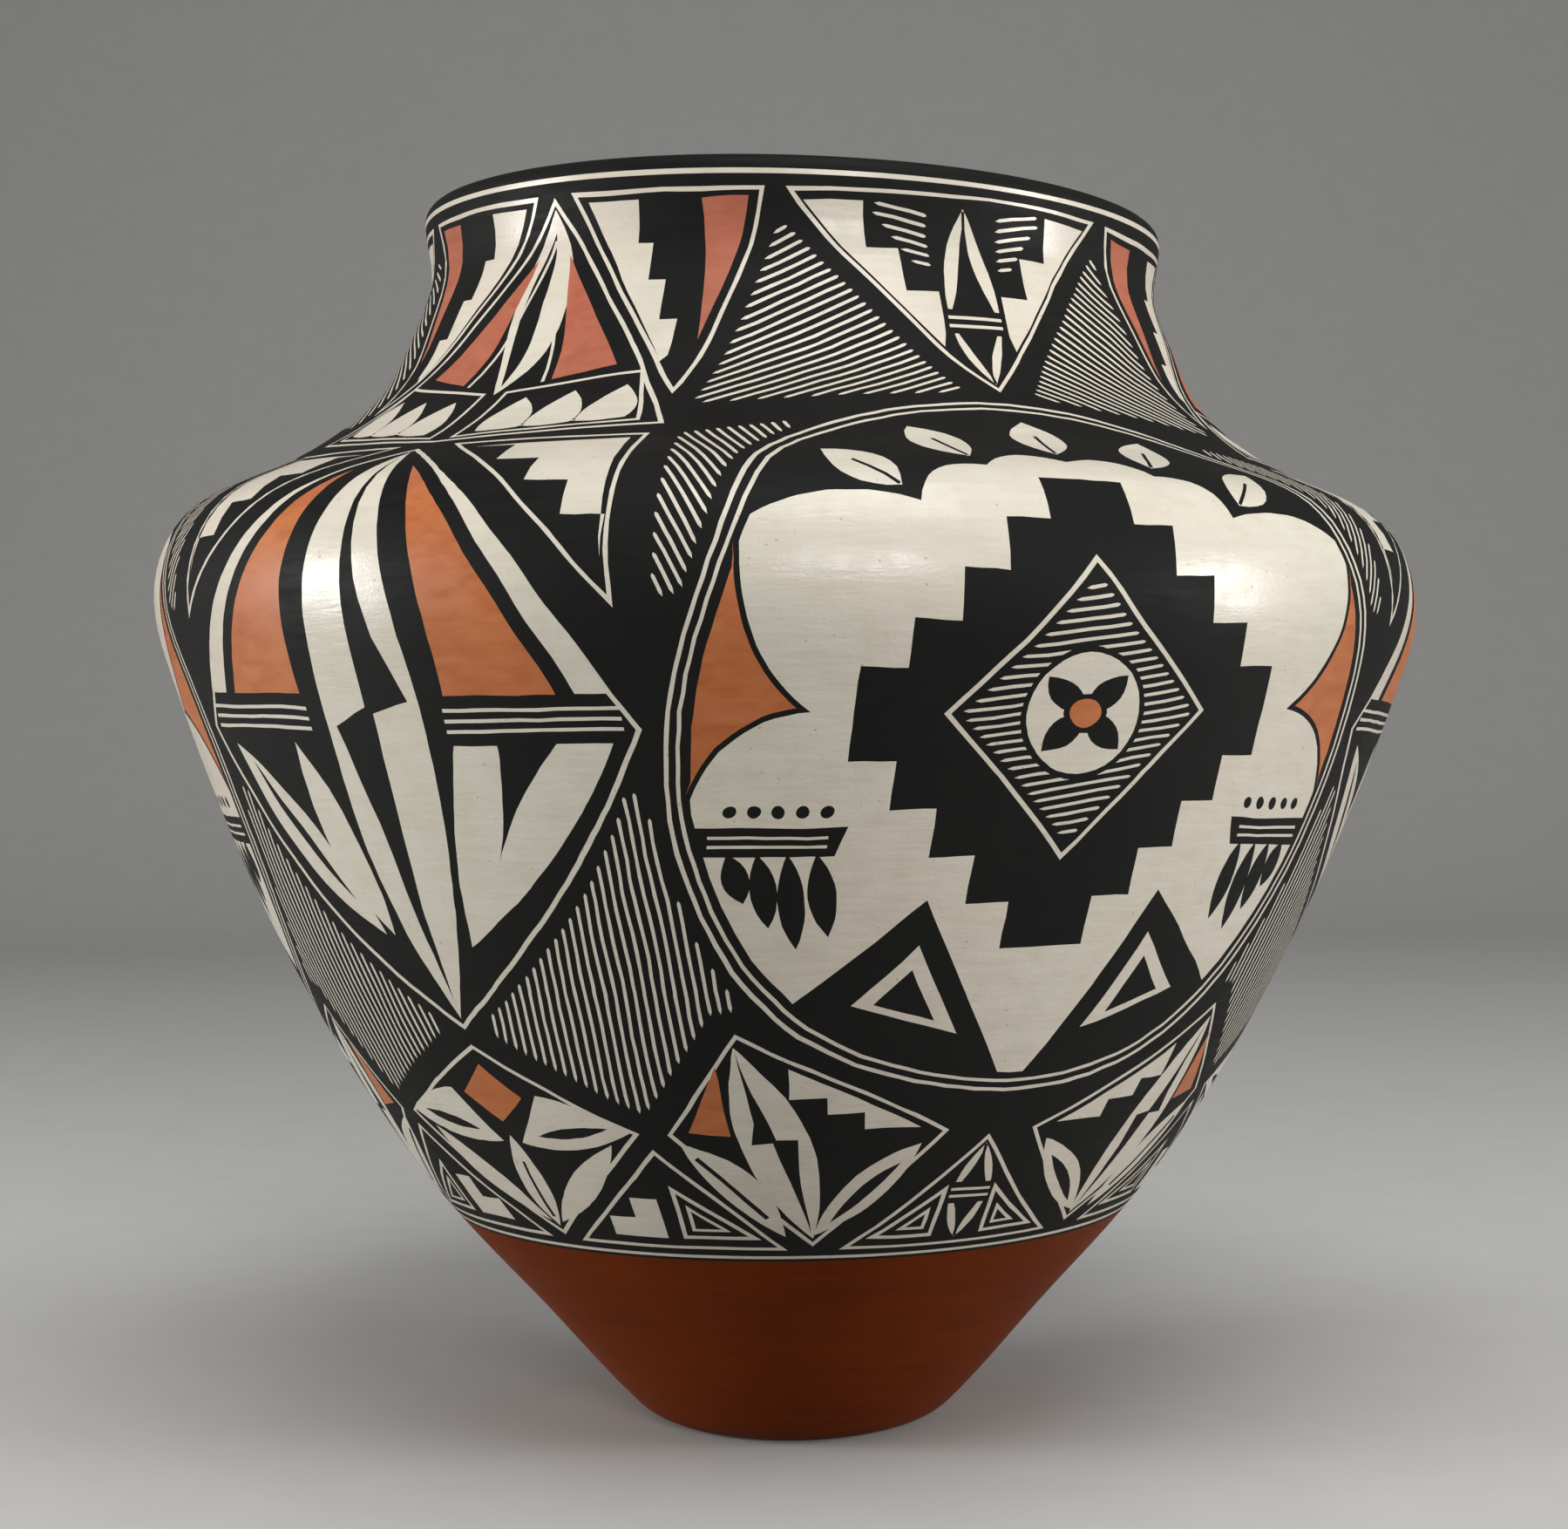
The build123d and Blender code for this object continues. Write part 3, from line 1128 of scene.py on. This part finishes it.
class Nodes:
    """A tree of nodes in the making."""

    def __init__(self, tree):
        self.tree = tree

    def feed(self, socket, value):
        """Gives a socket a plain value, or a link from another node."""
        if isinstance(value, bpy.types.NodeSocket):
            self.tree.links.new(value, socket)
        else:
            socket.default_value = value

    def add(self, kind, inputs=None, **settings):
        """Adds a node with its settings and inputs."""
        node = self.tree.nodes.new(kind)
        for name, value in settings.items():
            setattr(node, name, value)
        for name, value in (inputs or {}).items():
            self.feed(node.inputs[name], value)
        return node

    def math(self, operation, first, second):
        """One number from two."""
        return self.add("ShaderNodeMath", {0: first, 1: second}, operation=operation).outputs[0]

    def noise(self, place, scale, detail, roughness=0.5, distortion=0.0):
        """Even noise, coarse or fine."""
        return self.add("ShaderNodeTexNoise", {
            "Vector": place, "Scale": scale, "Detail": detail,
            "Roughness": roughness, "Distortion": distortion,
        }).outputs["Fac"]

    def ranged(self, value, low, high, from_low=0.0, from_high=1.0, **settings):
        """A value stretched to another range."""
        return self.add("ShaderNodeMapRange", {
            "Value": value, "From Min": from_low, "From Max": from_high, "To Min": low, "To Max": high,
        }, **settings).outputs["Result"]

    def blended(self, share, first, second):
        """Colour between two, by a share that varies over the surface."""
        return self.add("ShaderNodeMix", {0: share, 6: first, 7: second}, data_type="RGBA").outputs[2]

    def over(self, tone, other, mask, most):
        """A tone with another laid over it where a mask shows, at most by a share."""
        return self.blended(self.ranged(mask, 0.0, most), tone, other)


class Effect(Nodes):
    """An effect that several finishes use: a node group with a place, some numbers and one output."""

    def __init__(self, name, numbers, output):
        super().__init__(bpy.data.node_groups.new(name, "ShaderNodeTree"))
        self.tree.interface.new_socket("Place", in_out="INPUT", socket_type="NodeSocketVector")
        for label in numbers:
            self.tree.interface.new_socket(label, in_out="INPUT", socket_type="NodeSocketFloat")
        self.tree.interface.new_socket(output, in_out="OUTPUT", socket_type="NodeSocketFloat")
        self.given = self.tree.nodes.new("NodeGroupInput").outputs
        self.output = self.tree.nodes.new("NodeGroupOutput").inputs[0]


class Finish(Nodes):
    """A material in the making, whose nodes read the place on the piece."""

    def __init__(self, name):
        self.material = bpy.data.materials.new(name)
        self.material.use_nodes = True
        super().__init__(self.material.node_tree)
        self.shader = self.tree.nodes["Principled BSDF"].inputs
        self.place = self.add("ShaderNodeTexCoord").outputs["Object"]

    def height(self):
        """Height above the foot, in metres."""
        return self.add("ShaderNodeSeparateXYZ", {"Vector": self.place}).outputs["Z"]

    def effect(self, name, **numbers):
        """Places an effect with its numbers."""
        group = bpy.data.node_groups[name]
        return self.add("ShaderNodeGroup", {"Place": self.place, **numbers}, node_tree=group).outputs[0]

    def coat(self, colour, roughness, gloss=0.5):
        """Gives the shader its colour, its roughness and the strength of its reflections."""
        self.feed(self.shader["Base Color"], colour)
        self.feed(self.shader["Roughness"], roughness)
        self.feed(self.shader["Specular IOR Level"], gloss)

    def relief(self, height, strength, depth):
        """Gives the surface a relief of some mm."""
        bump = self.add("ShaderNodeBump", {"Strength": strength, "Distance": depth * MM, "Height": height})
        self.feed(self.shader["Normal"], bump.outputs["Normal"])


def clay_cloud():
    """Slow changes of tone, as slip lies thicker and thinner and the fire touches it."""
    effect = Effect("clay_cloud", ["Scale"], "Cloud")
    noise = effect.noise(effect.given["Place"], effect.given["Scale"], 4.0, 0.55)
    effect.feed(effect.output, effect.ranged(noise, 0.0, 1.0, 0.3, 0.7, interpolation_type="SMOOTHSTEP"))


def streaks():
    """Marks drawn out round the jar by a brush or a polishing stone."""
    effect = Effect("streaks", ["Scale", "Length"], "Streaks")
    squeeze = effect.add("ShaderNodeCombineXYZ", {"X": 1.0, "Y": 1.0, "Z": effect.given["Length"]}).outputs[0]
    drawn = effect.add("ShaderNodeVectorMath", {0: effect.given["Place"], 1: squeeze}, operation="MULTIPLY")
    noise = effect.noise(drawn.outputs[0], effect.given["Scale"], 3.0, 0.6, 0.4)
    effect.feed(effect.output, effect.ranged(noise, 0.0, 1.0, 0.3, 0.7))


def specks():
    """Small specks and pits where grains of temper show."""
    effect = Effect("specks", ["Scale", "Share"], "Specks")
    given = effect.given
    cells = effect.add("ShaderNodeTexVoronoi", {"Vector": given["Place"], "Scale": given["Scale"]})
    chance = effect.add("ShaderNodeSeparateColor", {"Color": cells.outputs["Color"]}).outputs
    chosen = effect.math("LESS_THAN", chance["Red"], given["Share"])
    size = effect.ranged(chance["Green"], 0.08, 0.2)
    edge = effect.math("SUBTRACT", size, cells.outputs["Distance"])
    effect.feed(effect.output, effect.math("MULTIPLY", effect.ranged(edge, 0.0, 1.0, 0.0, 0.06), chosen))


def rgb(red, green, blue):
    """Colour for a socket, from the values that a paint chart gives (0 to 255)."""
    def linear(value):
        share = value / 255
        return share / 12.92 if share <= 0.04045 else ((share + 0.055) / 1.055) ** 2.4
    return (linear(red), linear(green), linear(blue), 1)


# Heights, in mm, between which the orange turns from ochre below to terracotta above
TERRACOTTA_HEIGHTS = (232, 248)
# Heights, in mm, between which the slip inside the neck begins, and how far that edge wanders
SLIP_INSIDE_HEIGHTS = (279, 281)
SLIP_INSIDE_WANDER = 5


def white_slip():
    """Stone-polished slip: a soft gloss that breaks up on streaks, fine grain and pits."""
    slip = Finish("white_slip")
    cloud = slip.effect("clay_cloud", Scale=6.0)
    fine = slip.effect("clay_cloud", Scale=150.0)
    marks = slip.effect("streaks", Scale=75.0, Length=7.0)
    pits = slip.effect("specks", Scale=520.0, Share=0.16)
    tone = slip.blended(cloud, rgb(216, 211, 194), rgb(225, 207, 191))
    tone = slip.over(tone, rgb(205, 196, 176), fine, 0.6)
    tone = slip.over(tone, rgb(227, 222, 207), marks, 0.5)
    tone = slip.over(tone, rgb(150, 132, 106), pits, 0.4)
    grain = slip.noise(slip.place, 1100.0, 2.0)
    slip.coat(tone, slip.ranged(fine, 0.24, 0.35))
    height = slip.math("SUBTRACT", slip.math("ADD", marks, grain), slip.ranged(pits, 0.0, 1.6))
    slip.relief(height, 0.65, 0.06)
    return slip.material


def black_paint():
    """Mineral black, which dries dull."""
    paint = Finish("black_paint")
    cloud = paint.effect("clay_cloud", Scale=22.0)
    marks = paint.effect("streaks", Scale=70.0, Length=6.0)
    tone = paint.blended(cloud, rgb(15, 15, 15), rgb(21, 21, 20))
    tone = paint.over(tone, rgb(29, 28, 26), marks, 0.4)
    paint.coat(tone, paint.ranged(marks, 0.52, 0.7), 0.12)
    paint.relief(marks, 0.15, 0.05)
    return paint.material


def orange_paint():
    """Ochre below and terracotta above, both laid on in brushed patches."""
    paint = Finish("orange_paint")
    cloud = paint.effect("clay_cloud", Scale=55.0)
    marks = paint.effect("streaks", Scale=110.0, Length=3.0)
    low, high = TERRACOTTA_HEIGHTS
    above = paint.ranged(paint.height(), 0.0, 1.0, low * MM, high * MM)
    tone = paint.blended(above, rgb(186, 105, 56), rgb(176, 98, 72))
    deep = paint.blended(above, rgb(164, 82, 40), rgb(160, 84, 60))
    light = paint.blended(above, rgb(206, 132, 84), rgb(192, 118, 92))
    tone = paint.over(paint.over(tone, deep, cloud, 0.6), light, marks, 0.5)
    paint.coat(tone, paint.ranged(marks, 0.36, 0.5), 0.35)
    paint.relief(marks, 0.2, 0.05)
    return paint.material


def red_slip():
    """Red-brown slip of the base, wiped on round the jar."""
    slip = Finish("red_slip")
    cloud = slip.effect("clay_cloud", Scale=14.0)
    marks = slip.effect("streaks", Scale=50.0, Length=9.0)
    tone = slip.blended(cloud, rgb(113, 46, 12), rgb(97, 38, 9))
    tone = slip.over(tone, rgb(128, 55, 15), marks, 0.5)
    slip.coat(tone, slip.ranged(marks, 0.42, 0.56), 0.04)
    slip.relief(marks, 0.2, 0.06)
    return slip.material


def bare_clay():
    """Scraped clay inside, with slip that runs over the lip down to an uneven edge."""
    clay = Finish("bare_clay")
    cloud = clay.effect("clay_cloud", Scale=16.0)
    marks = clay.effect("streaks", Scale=45.0, Length=6.0)
    grit = clay.effect("specks", Scale=300.0, Share=0.4)
    tone = clay.blended(cloud, rgb(190, 170, 142), rgb(172, 150, 122))
    tone = clay.over(tone, rgb(204, 186, 160), marks, 0.4)
    tone = clay.over(tone, rgb(110, 94, 74), grit, 0.6)
    reach = SLIP_INSIDE_WANDER * MM
    wander = clay.ranged(clay.effect("clay_cloud", Scale=22.0), -reach, reach)
    low, high = SLIP_INSIDE_HEIGHTS
    slipped = clay.ranged(clay.math("ADD", clay.height(), wander), 0.0, 1.0, low * MM, high * MM)
    slip_tone = clay.over(rgb(205, 196, 176), rgb(186, 170, 142), marks, 0.5)
    clay.coat(clay.blended(slipped, tone, slip_tone), clay.ranged(slipped, 0.8, 0.5))
    clay.relief(marks, 0.5, 0.25)
    return clay.material


def studio_grey():
    """The floor's grey. Seen directly or in a gloss it is pale, but it throws back little light."""
    grey = Finish("studio_grey")
    pale = grey.blended(grey.noise(grey.place, 40.0, 4.0), rgb(196, 195, 192), rgb(204, 203, 200))
    path = grey.add("ShaderNodeLightPath").outputs
    seen = path["Is Camera Ray"]
    for ray in ("Is Glossy Ray", "Is Transmission Ray"):
        seen = grey.math("MAXIMUM", seen, path[ray])
    grey.coat(grey.blended(seen, rgb(90, 90, 88), pale), 0.85)
    return grey.material


# The floor and the backdrop that it sweeps up into, in metres
FLOOR_SIZE = 6
BACKDROP_HEIGHT = 4
SWEEP_RADIUS = 1.5
BEHIND = 2


def select_edges(mesh, chosen):
    """Selects, in edit mode, the edges whose two ends pass a test."""
    bpy.ops.object.mode_set(mode="EDIT")
    bpy.ops.mesh.select_mode(type="EDGE")
    bpy.ops.mesh.select_all(action="DESELECT")
    bpy.ops.object.mode_set(mode="OBJECT")
    for edge in mesh.edges:
        edge.select = all(chosen(mesh.vertices[end].co) for end in edge.vertices)
    bpy.ops.object.mode_set(mode="EDIT")


def studio_floor():
    """Pale table top that sweeps up behind the jar."""
    bpy.ops.object.select_all(action="DESELECT")
    bpy.ops.mesh.primitive_plane_add(size=FLOOR_SIZE, location=(0, 0, 0))
    floor = bpy.context.object
    floor.name = floor.data.name = "studio_floor"
    floor.data.materials.append(studio_grey())
    select_edges(floor.data, lambda end: end.y > BEHIND)
    bpy.ops.mesh.extrude_region_move(TRANSFORM_OT_translate={"value": (0, 0, BACKDROP_HEIGHT)})
    select_edges(floor.data, lambda end: end.y > BEHIND and abs(end.z) < MM)
    bpy.ops.mesh.bevel(offset=SWEEP_RADIUS, segments=24)
    bpy.ops.object.mode_set(mode="OBJECT")
    bpy.ops.object.shade_smooth()


def soft_light(name, azimuth, elevation, distance, size, power):
    """A soft box that looks at the middle of the jar. Azimuth 0 is the camera's side, plus to the right."""
    turn, rise = math.radians(azimuth), math.radians(elevation)
    way = Vector((math.sin(turn) * math.cos(rise), -math.cos(turn) * math.cos(rise), math.sin(rise)))
    lamp = bpy.data.lights.new(name, "AREA")
    lamp.shape = "RECTANGLE"
    lamp.size, lamp.size_y = size
    lamp.energy = power
    item = bpy.data.objects.new(name, lamp)
    item.location = Vector((0, 0, 0.2)) + way * distance
    item.rotation_euler = way.to_track_quat("Z", "Y").to_euler()
    bpy.context.collection.objects.link(item)


def studio_lights():
    """Soft boxes at both sides, in front and above, and a little light from all round."""
    soft_light("left_box", azimuth=-80, elevation=2, distance=1.5, size=(0.45, 0.72), power=17.5)
    soft_light("right_box", azimuth=74, elevation=2, distance=1.5, size=(0.45, 0.72), power=14)
    soft_light("front_box", azimuth=12, elevation=13, distance=1.7, size=(0.6, 0.2), power=6.5)
    soft_light("top_box", azimuth=14, elevation=62, distance=1.5, size=(1.0, 1.0), power=13)
    world = bpy.data.worlds.new("studio_world")
    world.use_nodes = True
    background = world.node_tree.nodes["Background"].inputs
    background["Color"].default_value = (1, 1, 1, 1)
    background["Strength"].default_value = 0.24
    bpy.context.scene.world = world


# Camera at the photograph's place. Its focus is given in pixels of the photograph, which is 1799 of them wide
PHOTO_WIDTH = 1799
CAMERA_FOCUS = 2989.2
CAMERA_PLACE = (-0.7, -700, 183.5)
CAMERA_PITCH = -0.858
CAMERA_ROLL = -0.767


def studio_camera():
    """The camera, which looks level and is then tipped and rolled a little."""
    lens = bpy.data.cameras.new("camera")
    lens.sensor_width = 36
    lens.lens = CAMERA_FOCUS / PHOTO_WIDTH * lens.sensor_width
    camera = bpy.data.objects.new("camera", lens)
    camera.location = Vector(CAMERA_PLACE) * MM
    camera.rotation_euler = (math.radians(90 + CAMERA_PITCH), 0, 0)
    camera.rotation_euler.rotate_axis("Z", math.radians(CAMERA_ROLL))
    bpy.context.collection.objects.link(camera)
    bpy.context.scene.camera = camera


def build_jar():
    """The whole jar, from the base bowl up. Its materials stand in the order of the colours."""
    draw_design()
    sheet = cut_tile()
    for make_effect in (clay_cloud, streaks, specks):
        make_effect()
    materials = [make() for make in (white_slip, black_paint, orange_paint, red_slip, bare_clay)]
    base_bowl(materials)
    for name, low, high in zip(COIL_NAMES, SEAMS, SEAMS[1:]):
        ring(name, sheet, low, high, materials)
    rim(sheet, materials)


bpy.ops.object.select_all(action="DESELECT")
build_jar()
studio_floor()
studio_lights()
studio_camera()
bpy.context.scene.view_settings.view_transform = "Standard"
